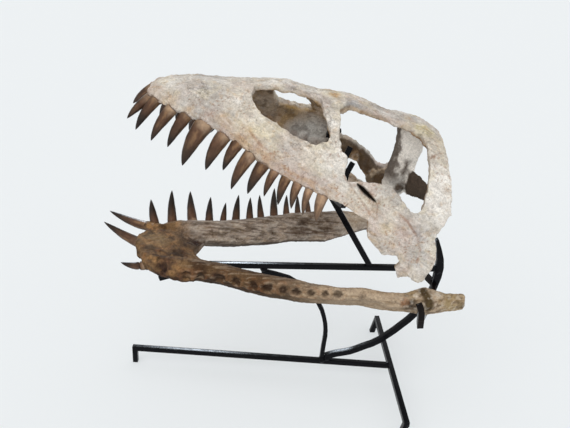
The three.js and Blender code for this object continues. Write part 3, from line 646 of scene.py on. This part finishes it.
def skull_tint(points):
    """Mottled cream, with grey, pinkish, yellow and ochre stains."""
    x, y, z = points.T
    left = np.column_stack([x, -np.abs(y), z])
    tint = patched(np.tile(CREAM, (len(points), 1)), points, SKULL_PATCHES)
    tint = stained(tint, left, STAINS, 0.8 + 0.5 * fbm(points, 8, 14))
    tint = patched(tint, points, SKULL_SPECKS)
    streaks = grain(points, MARGIN_RUN, 2.6, 6, 17)
    tint = mix(tint, GREY, 0.35 * ramp(0.12, 0.5, streaks))
    tint = mix(tint, PALE, 0.3 * ramp(0.12, 0.5, -streaks))
    # painted highlight on the raised relief and painted shade in its hollows
    tint = relief_light_and_shade(tint, skull_relief(points), 0.12)
    margin = margin_band(points)
    tint = mix(tint, PINK, 0.3 * margin)
    tint = mix(tint, OCHRE, 0.4 * margin * ramp(0.1, 0.4, grain(points, MARGIN_RUN, 5, 5, 22)))
    pits = ramp(0.3, 0.55, fbm(points, 2.2, 19)) * (ramp(-0.1, 0.3, fbm(points, 30, 21)) + 0.4 * margin)
    return mix(tint, RUST, np.clip(0.5 * pits, 0, 1))


def inside_tint(points):
    """Tan bone with brown, gold and slate patches."""
    tint = patched(np.tile(INSIDE, (len(points), 1)), points, INSIDE_PATCHES)
    tint = stained(tint, points, INSIDE_STAINS)
    return patched(tint, points, INSIDE_SPECKS)


def skull_cracks(points):
    """1 along the cracks and seams, fading in and out, and 0 off them."""
    cracks = np.zeros(len(points))
    for path in SEAMS:
        cracks = np.maximum(cracks, seam(points, path, CRACK_REACH))
    return cracks * (0.4 + 0.6 * ramp(-0.3, 0.2, fbm(points, 7, 20)))


def skull_slit(points):
    """1 in the slit of the left cheek, 0 outside it."""
    return seam(points, SLIT, np.interp(points[:, 0], *SLIT_HALF_WIDTH)) * (points[:, 1] < 0)


def far_bar_shade(points, depth):
    """How dark the inner side of the far eye bar is."""
    x, y, z = points.T
    far_bar = ramp(2.0, 5.0, depth) * (y > 20) * ramp(-94, -84, x) * ramp(286, 276, z - 0.2 * x)
    return 0.85 * far_bar * ramp(-0.5, 0.1, fbm(points, 14, 35))


def make_skull(bone):
    nodes = [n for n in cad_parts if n.startswith("skull_") and n not in INNER_NODES]
    piece = fused("skull", nodes, SKULL_VOXEL)
    drop_inside_teeth(piece.data, UPPER_SHAPES)
    points = stand_place(piece.data)
    outside, past = near_teeth(points, UPPER_SHAPES)
    cracks = skull_cracks(points)
    slit = skull_slit(points)
    amount = 1.3 * fbm(points, 30, 1) + 0.9 * skull_relief(points) - 0.5
    amount += collar(outside, past, SKULL_COLLAR)
    amount = amount - CRACK_DEPTH * cracks - SLIT_DEPTH * slit
    raise_bone(piece, amount, outside, past)
    depth = shell_depth(points)
    tint = mix(skull_tint(points), inside_tint(points), ramp(3.0, 7.0, depth))
    # painted shade on the inner side of the far eye bar
    tint = mix(tint, DARK_SPECK_AND_SHADE, far_bar_shade(points, depth))
    tint = mix(tint, RUST, 0.5 * cracks)
    slit_edge = seam(points, SLIT, 7) * (points[:, 1] < 0)
    tint = mix(tint, RUST, 0.4 * slit_edge * ramp(-0.1, 0.3, fbm(points, 5, 24)))
    # painted shadow fills the slit
    tint = mix(tint, SLIT_SHADOW, ramp(0.15, 0.6, slit))
    # painted shade round the base of each upper tooth
    tint = gum_shade_tint(tint, outside, past, 1.5)
    tint = mix(tint, RUST, 0.25 * (1 - ramp(1.0, 5.0, outside)) * (1 - ramp(-2, 2, past)))
    finish_bone(piece, tint, bone)


def make_inner(bone):
    """The pale braincase, with painted shade along its front and on its side wings, and the palate, tan in
    places.
    """
    piece = fused("inner_bones", INNER_NODES, SKULL_VOXEL)
    points = stand_place(piece.data)
    amount = 1.2 * fbm(points, 20, 41) + 0.9 * fbm(points, 7, 42) + 0.3 * fbm(points, 3, 43) - 0.8
    move_along_normals(piece, amount)
    x, y, z = points.T
    wander = 7 * fbm(points, 9, 52)
    tint = mix(skull_tint(points), PALE, 0.85 * (x > -45))
    # painted shade on the braincase's front and on its lower side wings
    front_edge_shade = ramp(-25, -31, x + wander) * ramp(236, 252, z) * (x > -45)
    wing_shade = ramp(10, 15, np.abs(y) + 0.4 * wander) * ramp(272, 264, z) * (x > -45)
    foot = spot(points, (-24, -12, 240), 20) * ramp(-0.3, 0.2, fbm(points, 8, 53))
    tint = mix(tint, SLATE, 0.7 * foot)
    tint = mix(tint, DARK_SPECK_AND_SHADE, np.clip(0.85 * front_edge_shade + wing_shade, 0, 0.95))
    tint = mix(tint, inside_tint(points), 0.8 * (x < -60) * ramp(-0.25, 0.3, fbm(points, 22, 54)))
    finish_bone(piece, tint, bone)


# ---------------------------------------------------------------- lower jaw


def jaw_sockets(points):
    """1 in the empty sockets, and 1 on their rims; 0 elsewhere."""
    hollow = np.zeros(len(points))
    rim = np.zeros(len(points))
    for number, place in enumerate(SOCKETS):
        side = socket_inward(place) - row_half_width(place)
        centre = np.array((place, side, row_height(place) + SOCKET_LIFT))
        half_length = SOCKET_HALF_LENGTH + SOCKET_VARIES * math.sin(number * 2.4)
        reach = np.array([half_length, SOCKET_HALF_WIDTH, SOCKET_HALF_HEIGHT])
        offset = np.linalg.norm((points - centre) / reach, axis=1)
        offset += 0.2 * fbm(points, 5, 70 + number)
        hollow = np.maximum(hollow, 1 - ramp(0.5, 1.0, offset))
        rim = np.maximum(rim, 1 - ramp(0.0, 0.4, np.abs(offset - 1.2)))
    return hollow, rim


def jaw_relief(points, granular, fibres):
    """Long lumps and ridges on the sides, and grains on the fused front."""
    ridges = fbm(points, 7, 62, stretch=(3, 1, 1)) * (1 - granular) + 1.6 * fbm(points, 6, 58) * granular
    amount = 1.0 * fbm(points, 24, 61, stretch=(2.2, 1, 1)) + 0.5 * ridges
    amount += 0.35 * fbm(points, 3, 63) + 0.5 * fibres - 0.35
    return amount


def jaw_base_tint(points, granular, fibres, far, near):
    """Ochre and brown bone, greyer on the far side and paler towards the near joint."""
    x, y = points.T[:2]
    tint = patched(np.tile(JAW_OCHRE, (len(points), 1)), points, JAW_PATCHES)
    tint = mix(tint, JAW_BRIGHT, 0.5 * granular * ramp(-0.1, 0.35, fbm(points, 11, 59)))
    brown = ramp(-30, -45, y) * ramp(-245, -225, x) * ramp(-100, -150, x)
    tint = mix(tint, JAW_DARK, 0.6 * brown)
    tint = mix(tint, JAW_GREY, 0.85 * far * (0.75 + 0.25 * ramp(-0.3, 0.3, fbm(points, 14, 67))))
    tint = mix(tint, JAW_PALE, 0.9 * near)
    tint = mix(tint, JAW_DARK, 0.6 * ramp(0.08, 0.4, fibres) * (1 - 0.6 * near))
    pale_fibres = ramp(0.12, 0.45, grain(points, ALONG_JAW, 2.5, 8, 69)) * (1 - granular)
    return mix(tint, JAW_PALE, 0.35 * pale_fibres)


def jaw_marks(tint, points, far):
    """The tint with stains, the worn cup, the far side's break and streaks, and the chalky joint."""
    x, y = points.T[:2]
    tint = stained(tint, points, JAW_STAINS, 0.85 + 0.8 * fbm(points, 7, 85))
    tint = mix(tint, CUP_DARK, seam(points, CUP, 7))
    tint = mix(tint, CRACK_AND_SHADE, 0.9 * seam(points, FAR_SEAM, CRACK_REACH))
    far_streaks = grain(points, ALONG_JAW, 3, 9, 87)
    tint = mix(tint, JAW_DARK, 0.55 * far * ramp(0.1, 0.35, far_streaks) * ramp(-45, -75, x))
    tint = mix(tint, CHALK, 0.25 * far * ramp(0.15, 0.4, -far_streaks))
    joint = ramp(-40, -15, x) * (y < 0)
    tint = mix(tint, CHALK, 0.35 * joint * ramp(0.15, 0.45, fbm(points, 4, 83)))
    return mix(tint, JAW_DARK, 0.5 * joint * ramp(0.15, 0.4, fbm(points, 4, 84)))


def socket_tint(tint, points, hollow, rim):
    """The tint, dark in the sockets and rusty round them; those at the front are more worn."""
    tint = mix(tint, RUST, 0.3 * rim * (1 - hollow) * ramp(-0.2, 0.3, fbm(points, 6, 86)))
    worn = 0.45 + 0.55 * ramp(-225, -190, points[:, 0])
    return mix(tint, SOCKET_DARK, 0.85 * worn * ramp(0.1, 0.9, hollow) * (0.9 + 0.3 * fbm(points, 3, 82)))


def make_jaw(bone):
    nodes = [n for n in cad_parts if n.startswith("jaw_")]
    piece = fused("jaw", nodes, VOXEL)
    drop_inside_teeth(piece.data, LOWER_SHAPES)
    points = stand_place(piece.data)
    x, y = points.T[:2]
    outside, past = near_teeth(points, LOWER_SHAPES)
    hollow, rim = jaw_sockets(points)
    granular = ramp(-222, -248, x)
    fibres = grain(points, ALONG_JAW, 4.5, 8, 64) * (1 - granular) + fbm(points, 5, 60) * granular
    amount = jaw_relief(points, granular, fibres)
    amount += collar(outside, past, JAW_COLLAR)
    amount += RIM_HEIGHT * rim - SOCKET_DEPTH * hollow
    raise_bone(piece, amount, outside, past)
    far = ramp(5, 35, y) * ramp(-262, -225, x)
    near = ramp(-10, -45, y) * ramp(-165, -85, x + 18 * fbm(points, 20, 68))
    tint = jaw_base_tint(points, granular, fibres, far, near)
    tint = jaw_marks(tint, points, far)
    # painted highlight on the raised ridges and painted shade in the hollows between them
    tint = relief_light_and_shade(tint, fibres + 0.6 * fbm(points, 3, 63), 0.28)
    # painted shade on the faces that turn downwards, weaker towards the near joint
    facing_down_shade = ramp(0.1, -0.7, read_points(piece.data, "normal")[:, 2])
    tint = mix(tint, UNDERSIDE_SHADE_AND_STAIN, 0.75 * facing_down_shade * (1 - 0.7 * near))
    tint = socket_tint(tint, points, hollow, rim)
    # painted shade round the base of each lower tooth
    tint = gum_shade_tint(tint, outside, past, 1.3)
    finish_bone(piece, tint, bone)


# ---------------------------------------------------------------- teeth


def tooth_rings(shape, number):
    """Rings of points from root to tip, slightly ridged and worn, and the part of the length at each."""
    rings, parts = [], []
    for k in range(TOOTH_RINGS + 1):
        part = 1 - (1 - k / TOOTH_RINGS) ** RING_CROWDING
        point, along = tooth_line(shape, part)
        across = Vector((1, 0.1, 0))
        across = (across - along * across.dot(along)).normalized()
        other = across.cross(along)
        r = max(tooth_radius(shape[2], part) * TOOTH_COVER, TIP_RADIUS)
        ring = []
        for i in range(TOOTH_SIDES):
            angle = 2 * math.pi * i / TOOTH_SIDES
            wear = noise.noise(Vector((number * 5.1 + 2 * math.cos(angle), 2 * math.sin(angle), part * 7)))
            ridge = 1 + RIDGE_HEIGHT * math.sin(angle * RIDGES) + WEAR * wear
            side = across * math.cos(angle) + other * TOOTH_FLATNESS * math.sin(angle)
            ring.append(point + side * r * ridge)
        rings.append(ring)
        parts.append(part)
    return rings, parts


def ring_faces(start):
    """The quads between the ring of points at start and the ring before it."""
    before = start - TOOTH_SIDES
    faces = []
    for i in range(TOOTH_SIDES):
        j = (i + 1) % TOOTH_SIDES
        faces.append((before + i, start + i, start + j, before + j))
    return faces


def tooth_mesh(name, points, faces):
    """The mesh of some teeth, kept inside the CAD part's box."""
    mesh = bpy.data.meshes.new(name)
    corners = np.clip(metres(points), np.array(CAD_LOW), np.array(CAD_HIGH))
    mesh.from_pydata(corners.tolist(), [], faces)
    cage = bmesh.new()
    cage.from_mesh(mesh)
    bmesh.ops.recalc_face_normals(cage, faces=cage.faces)
    cage.to_mesh(mesh)
    cage.free()
    mesh.shade_smooth()
    return mesh


def make_teeth(name, shapes, enamel, darkness, seed):
    """Teeth in one mesh, tinted from a tan root to a nearly black tip."""
    points, faces, parts, numbers = [], [], [], []
    for number, shape in enumerate(shapes):
        first = len(points)
        for ring, place in zip(*tooth_rings(shape, number + seed)):
            if place > 0:
                faces += ring_faces(len(points))
            points += [tuple(p) for p in ring]
            parts += [place] * TOOTH_SIDES
            numbers += [number] * TOOTH_SIDES
        last = len(points) - 1
        faces.append(tuple(range(first, first + TOOTH_SIDES)))
        faces.append(tuple(range(last, last - TOOTH_SIDES, -1)))
    mesh = tooth_mesh(name, points, faces)
    piece = add_object(name, mesh)
    tint = tooth_tint(np.array(points), np.array(parts), np.array(numbers), darkness, seed)
    write_colours(mesh, "Tint", tint)
    mesh.materials.append(enamel)
    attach(piece, "root")


def tooth_tint(points, parts, numbers, darkness, seed):
    """Tan to dark brown along each tooth, with streaks, painted shade along its front and rear sides, and
    paler teeth at the rear.
    """
    turns = 2 * np.pi * (np.arange(len(points)) % TOOTH_SIDES) / TOOTH_SIDES
    unrolled = np.column_stack([8 * np.cos(turns), 8 * np.sin(turns), 14 * parts])
    streaks = fbm(unrolled + 40 * numbers[:, None], 4, seed + 2)
    shade = np.sin(numbers * 2.7 + seed)
    rear = ramp(-150, -100, points[:, 0]) * (1 - darkness)
    place = parts + 0.1 * fbm(points, 9, seed) + 0.1 * streaks + 0.08 * shade - 0.6 * rear
    tint = np.tile(TOOTH_ROOT, (len(points), 1))
    tint = mix(tint, TOOTH_TAN, 0.6 * ramp(0.0, 1.0, shade) * ramp(0.1, 0.2, place))
    tint = mix(tint, TOOTH_RED, np.clip(0.5 * ramp(0.0, 0.4, fbm(points, 12, seed + 1)) + 0.45 * rear, 0, 1))
    tint = mix(tint, TOOTH_MID, ramp(0.04, 0.4 - 0.25 * darkness, place))
    tint = mix(tint, TOOTH_TAN, 0.35 * ramp(0.1, 0.4, streaks) * (1 - darkness))
    tint = mix(tint, TOOTH_TIP, ramp(0.45 - 0.3 * darkness, 1.05 - 0.35 * darkness, place))
    tint = mix(tint, TOOTH_ROOT, 0.4 * rear)
    # painted shade on each tooth's front and rear sides, where it turns away from view
    edge_shade = np.cos(turns) ** 2
    return tint * (1.06 + 0.4 * streaks - 0.55 * edge_shade)[:, None]


# ---------------------------------------------------------------- materials

# Scales of noise are in features per metre, and the distances of bumps in metres.
CELLS_PER_METRE = 60.0  # the cracks run round cells of this fineness
CRACK_WIDTH = 0.022  # as a part of a cell
CRACK_WANDER = 0.025


class Nodes:
    """A short way to write a material's node tree."""

    def __init__(self, name):
        self.material = bpy.data.materials.new(name)
        self.material.use_nodes = True
        self.tree = self.material.node_tree
        self.shader = self.tree.nodes["Principled BSDF"]

    def add(self, kind, settings=None, **inputs):
        node = self.tree.nodes.new(kind)
        for key, value in (settings or {}).items():
            setattr(node, key, value)
        for key, value in inputs.items():
            self.link(value, node.inputs[key])
        return node

    def link(self, value, socket):
        if isinstance(value, bpy.types.NodeSocket):
            self.tree.links.new(value, socket)
        else:
            socket.default_value = value

    def noise(self, coords, scale, detail=4, roughness=0.6):
        return self.add("ShaderNodeTexNoise", Vector=coords, Scale=scale, Detail=detail, Roughness=roughness)

    def remap(self, value, low, high, start=0.0, end=1.0):
        node = self.add("ShaderNodeMapRange", {"interpolation_type": "SMOOTHSTEP"})
        for key, number in (("From Min", low), ("From Max", high), ("To Min", start), ("To Max", end)):
            node.inputs[key].default_value = number
        self.link(value, node.inputs["Value"])
        return node.outputs["Result"]

    def math(self, operation, a, b):
        node = self.add("ShaderNodeMath", {"operation": operation})
        self.link(a, node.inputs[0])
        self.link(b, node.inputs[1])
        return node.outputs[0]

    def blend(self, kind, amount, a, b):
        node = self.add("ShaderNodeMix", {"data_type": "RGBA", "blend_type": kind})
        self.link(amount, node.inputs[0])
        self.link(a, node.inputs[6])
        self.link(b, node.inputs[7])
        return node.outputs[2]

    def brightened(self, shade, factor):
        light = self.add("ShaderNodeCombineColor", Red=factor, Green=factor, Blue=factor)
        return self.blend("MULTIPLY", 1.0, shade, light.outputs[0])

    def coords(self):
        return self.add("ShaderNodeTexCoord").outputs["Object"]

    def tint(self):
        return self.add("ShaderNodeAttribute", {"attribute_name": "Tint"}).outputs["Color"]

    def bump(self, height, strength, distance):
        node = self.add("ShaderNodeBump", Height=height, Strength=strength, Distance=distance)
        self.link(node.outputs[0], self.shader.inputs["Normal"])

    def dull(self, roughness, specular):
        self.link(roughness, self.shader.inputs["Roughness"])
        self.link(specular, self.shader.inputs["Specular IOR Level"])


def colour(values):
    return (*[float(v) for v in values], 1.0)


def fine_cracks(n, coords):
    """Wandering hairline cracks, in patches."""
    warp = n.add("ShaderNodeVectorMath", {"operation": "MULTIPLY_ADD"})
    n.link(n.noise(coords, scale=70, detail=3).outputs["Color"], warp.inputs[0])
    warp.inputs[1].default_value = (CRACK_WANDER, CRACK_WANDER, CRACK_WANDER)
    n.link(coords, warp.inputs[2])
    edges = {"feature": "DISTANCE_TO_EDGE"}
    cells = n.add("ShaderNodeTexVoronoi", edges, Vector=warp.outputs[0], Scale=CELLS_PER_METRE)
    patchy = n.remap(n.noise(coords, scale=35, detail=2).outputs["Fac"], 0.5, 0.62, 0, 1)
    return n.math("MULTIPLY", n.remap(cells.outputs["Distance"], 0.0, CRACK_WIDTH, 1, 0), patchy)


def bone_material():
    n = Nodes("fossil bone")
    coords = n.coords()
    fine = n.noise(coords, scale=520, detail=5, roughness=0.7).outputs["Fac"]
    coarse = n.noise(coords, scale=130, detail=5, roughness=0.6).outputs["Fac"]
    grit = n.noise(coords, scale=1100, detail=2).outputs["Fac"]
    shaded = n.brightened(n.tint(), n.remap(fine, 0.3, 0.7, 0.82, 1.12))
    shaded = n.brightened(shaded, n.remap(coarse, 0.3, 0.7, 0.94, 1.05))
    shaded = n.brightened(shaded, n.remap(grit, 0.35, 0.65, 0.9, 1.07))
    pores = n.remap(n.noise(coords, scale=750, detail=2).outputs["Fac"], 0.64, 0.72, 0, 0.45)
    shaded = n.blend("MIX", pores, shaded, colour(CRACK_AND_SHADE))
    crack = fine_cracks(n, coords)
    shaded = n.blend("MIX", n.math("MULTIPLY", crack, 0.4), shaded, colour(CRACK_AND_SHADE))
    n.link(shaded, n.shader.inputs["Base Color"])
    height = n.math("ADD", n.math("MULTIPLY", fine, 0.7), coarse)
    height = n.math("SUBTRACT", height, n.math("MULTIPLY", crack, 0.6))
    height = n.math("SUBTRACT", height, pores)
    n.bump(height, strength=0.9, distance=0.0012)
    n.dull(roughness=0.82, specular=0.12)
    return n.material


def tooth_material():
    n = Nodes("tooth enamel")
    fine = n.noise(n.coords(), scale=350, detail=5).outputs["Fac"]
    light = n.remap(fine, 0.3, 0.7, 0.85, 1.15)
    n.link(n.brightened(n.tint(), light), n.shader.inputs["Base Color"])
    n.bump(fine, strength=0.6, distance=0.0004)
    n.dull(roughness=0.38, specular=0.25)
    return n.material


def steel_material(name, light):
    n = Nodes(name)
    coords = n.coords()
    mottled = n.noise(coords, scale=160, detail=4).outputs["Fac"]
    shade = n.blend("MIX", mottled, colour(STEEL_DARK), colour(light))
    n.link(shade, n.shader.inputs["Base Color"])
    n.bump(n.noise(coords, scale=900, detail=3).outputs["Fac"], strength=0.25, distance=0.0003)
    n.dull(roughness=n.remap(mottled, 0.3, 0.7, 0.14, 0.3), specular=0.1)
    return n.material


# ---------------------------------------------------------------- stand


def make_bar(node, steel, bevel_width):
    """A bar of the stand with softened edges."""
    cage = welded_copy([node])
    bmesh.ops.dissolve_limit(cage, angle_limit=math.radians(1), verts=cage.verts, edges=cage.edges)
    mesh = bpy.data.meshes.new(node + "_bar")
    cage.to_mesh(mesh)
    cage.free()
    piece = add_object(node + "_bar", mesh)
    bevel = piece.modifiers.new("edges", "BEVEL")
    bevel.width = bevel_width / 1000
    bevel.segments = 3
    bevel.limit_method = "ANGLE"
    bevel.angle_limit = math.radians(BEVEL_ANGLE)
    settled(piece)
    piece.data.shade_smooth()
    piece.data.set_sharp_from_angle(angle=math.radians(SHARP_ANGLE))
    piece.data.materials.clear()
    piece.data.materials.append(steel)
    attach(piece, "root")
    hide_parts(node)


def make_welds(steel):
    """Rounded beads where the bars are joined."""
    cage = bmesh.new()
    for number, (x, y, z, radius) in enumerate(WELDS):
        middle = Vector(metres((x, y, z)))
        bead = bmesh.ops.create_icosphere(cage, subdivisions=3, radius=radius / 1000)
        for vertex in bead["verts"]:
            lump = 1 + WELD_LUMPS * noise.noise(vertex.co * 700 + Vector((number, 0, 0)))
            vertex.co = middle + vertex.co * lump
    mesh = bpy.data.meshes.new("stand_welds")
    cage.to_mesh(mesh)
    cage.free()
    mesh.shade_smooth()
    mesh.materials.append(steel)
    piece = add_object("stand_welds", mesh)
    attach(piece, "root")


# ---------------------------------------------------------------- room, light and camera

FLOOR_SIZE = 16
FLOOR_SHADE = tone(173, 175, 176)
FLOOR_GLOW = tone(170, 173, 174)  # a glow of its own keeps the shadows faint
ROOM_SHADE = (0.975, 0.987, 1.0, 1)
ROOM_STRENGTH = 0.74
KEY_STRENGTH = 0.95
KEY_TURNS = (34, -26, 0)
KEY_SPREAD = 60
FILL_STRENGTH = 0.75
FILL_TURNS = (58, 0, -12)
WINDOW_POWER = 48
WINDOW_TURNS = (-50, 0, 10)
WINDOW_PLACE = (-0.39, 1.9, 1.4)
WINDOW_SIZE = (0.45, 0.6)
WINDOW_TINT = (0.8, 0.9, 1.0)
# The camera's place is in the stand's millimetres, and its angles are in degrees.
CAMERA_PLACE = (-189.05, -629.85, 507.3)
CAMERA_PITCH = 26
CAMERA_TURN = 4.7
CAMERA_ROLL = 3.4
SENSOR_WIDTH = 36
FOCAL_PIXELS = 666  # focal length, and the picture's width
WIDTH_PIXELS = 570


def make_floor():
    half = FLOOR_SIZE / 2
    mesh = bpy.data.meshes.new("floor")
    corners = [(-half, -half, 0), (half, -half, 0), (half, half, 0), (-half, half, 0)]
    mesh.from_pydata(corners, [], [(0, 1, 2, 3)])
    floor = add_object("floor", mesh)
    n = Nodes("pale floor")
    n.shader.inputs["Base Color"].default_value = colour(FLOOR_SHADE)
    n.shader.inputs["Emission Color"].default_value = colour(FLOOR_GLOW)
    n.shader.inputs["Emission Strength"].default_value = 1.0
    n.shader.inputs["Roughness"].default_value = 0.9
    n.shader.inputs["Specular IOR Level"].default_value = 0.0
    mesh.materials.append(n.material)


def add_lamp(name, kind, energy, turns, place=(0, 0, 0)):
    light = bpy.data.lights.new(name, kind)
    light.energy = energy
    lamp = bpy.data.objects.new(name, light)
    lamp.location = place
    lamp.rotation_euler = Euler([math.radians(turn) for turn in turns])
    bpy.context.scene.collection.objects.link(lamp)
    return lamp


def make_light():
    """An even white room, a soft key from above, a fill from the front and a small rear window."""
    scene = bpy.context.scene
    scene.world = bpy.data.worlds.new("studio")
    scene.world.use_nodes = True
    background = scene.world.node_tree.nodes["Background"]
    background.inputs["Color"].default_value = ROOM_SHADE
    background.inputs["Strength"].default_value = ROOM_STRENGTH
    key = add_lamp("key", "SUN", KEY_STRENGTH, KEY_TURNS)
    key.data.angle = math.radians(KEY_SPREAD)
    key.visible_glossy = False
    fill = add_lamp("fill", "SUN", FILL_STRENGTH, FILL_TURNS)
    fill.data.use_shadow = False
    fill.visible_glossy = False
    window = add_lamp("window", "AREA", WINDOW_POWER, WINDOW_TURNS, WINDOW_PLACE)
    window.data.shape = "RECTANGLE"
    window.data.size, window.data.size_y = WINDOW_SIZE
    window.data.color = WINDOW_TINT
    window.visible_diffuse = False


def make_camera():
    pitch, turn, roll = (math.radians(a) for a in (CAMERA_PITCH, CAMERA_TURN, CAMERA_ROLL))
    ahead = Vector((math.sin(turn) * math.cos(pitch), math.cos(turn) * math.cos(pitch), -math.sin(pitch)))
    right = Vector((math.cos(turn), -math.sin(turn), 0))
    up = right.cross(ahead)
    tilted_right = right * math.cos(roll) + up * math.sin(roll)
    tilted_up = up * math.cos(roll) - right * math.sin(roll)
    camera = bpy.data.objects.new("camera", bpy.data.cameras.new("camera"))
    camera.data.sensor_width = SENSOR_WIDTH
    camera.data.lens = SENSOR_WIDTH * (FOCAL_PIXELS / WIDTH_PIXELS)
    turned = Matrix((tilted_right, tilted_up, -ahead)).transposed().to_4x4()
    camera.matrix_world = Matrix.Translation(Vector(metres(CAMERA_PLACE))) @ turned
    bpy.context.scene.collection.objects.link(camera)
    bpy.context.scene.camera = camera


# ---------------------------------------------------------------- assembly

bpy.context.scene.view_settings.view_transform = "Standard"
make_camera()
make_light()
make_floor()
bone = bone_material()
make_skull(bone)
make_inner(bone)
make_jaw(bone)
enamel = tooth_material()
make_teeth("upper_teeth", UPPER_SHAPES, enamel, darkness=0.3, seed=5)
make_teeth("lower_teeth", STANDING_SHAPES, enamel, darkness=0.9, seed=6)
make_teeth("front_teeth", FRONT_SHAPES, enamel, darkness=0.2, seed=7)
steel = steel_material("black painted steel", STEEL_LIGHT)
worn_steel = steel_material("worn steel", WORN_LIGHT)
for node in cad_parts:
    if node.startswith("stand_yoke"):
        make_bar(node, worn_steel, PRONG_EDGE)
    elif node.startswith("stand_"):
        make_bar(node, steel, EDGE)
make_welds(steel)
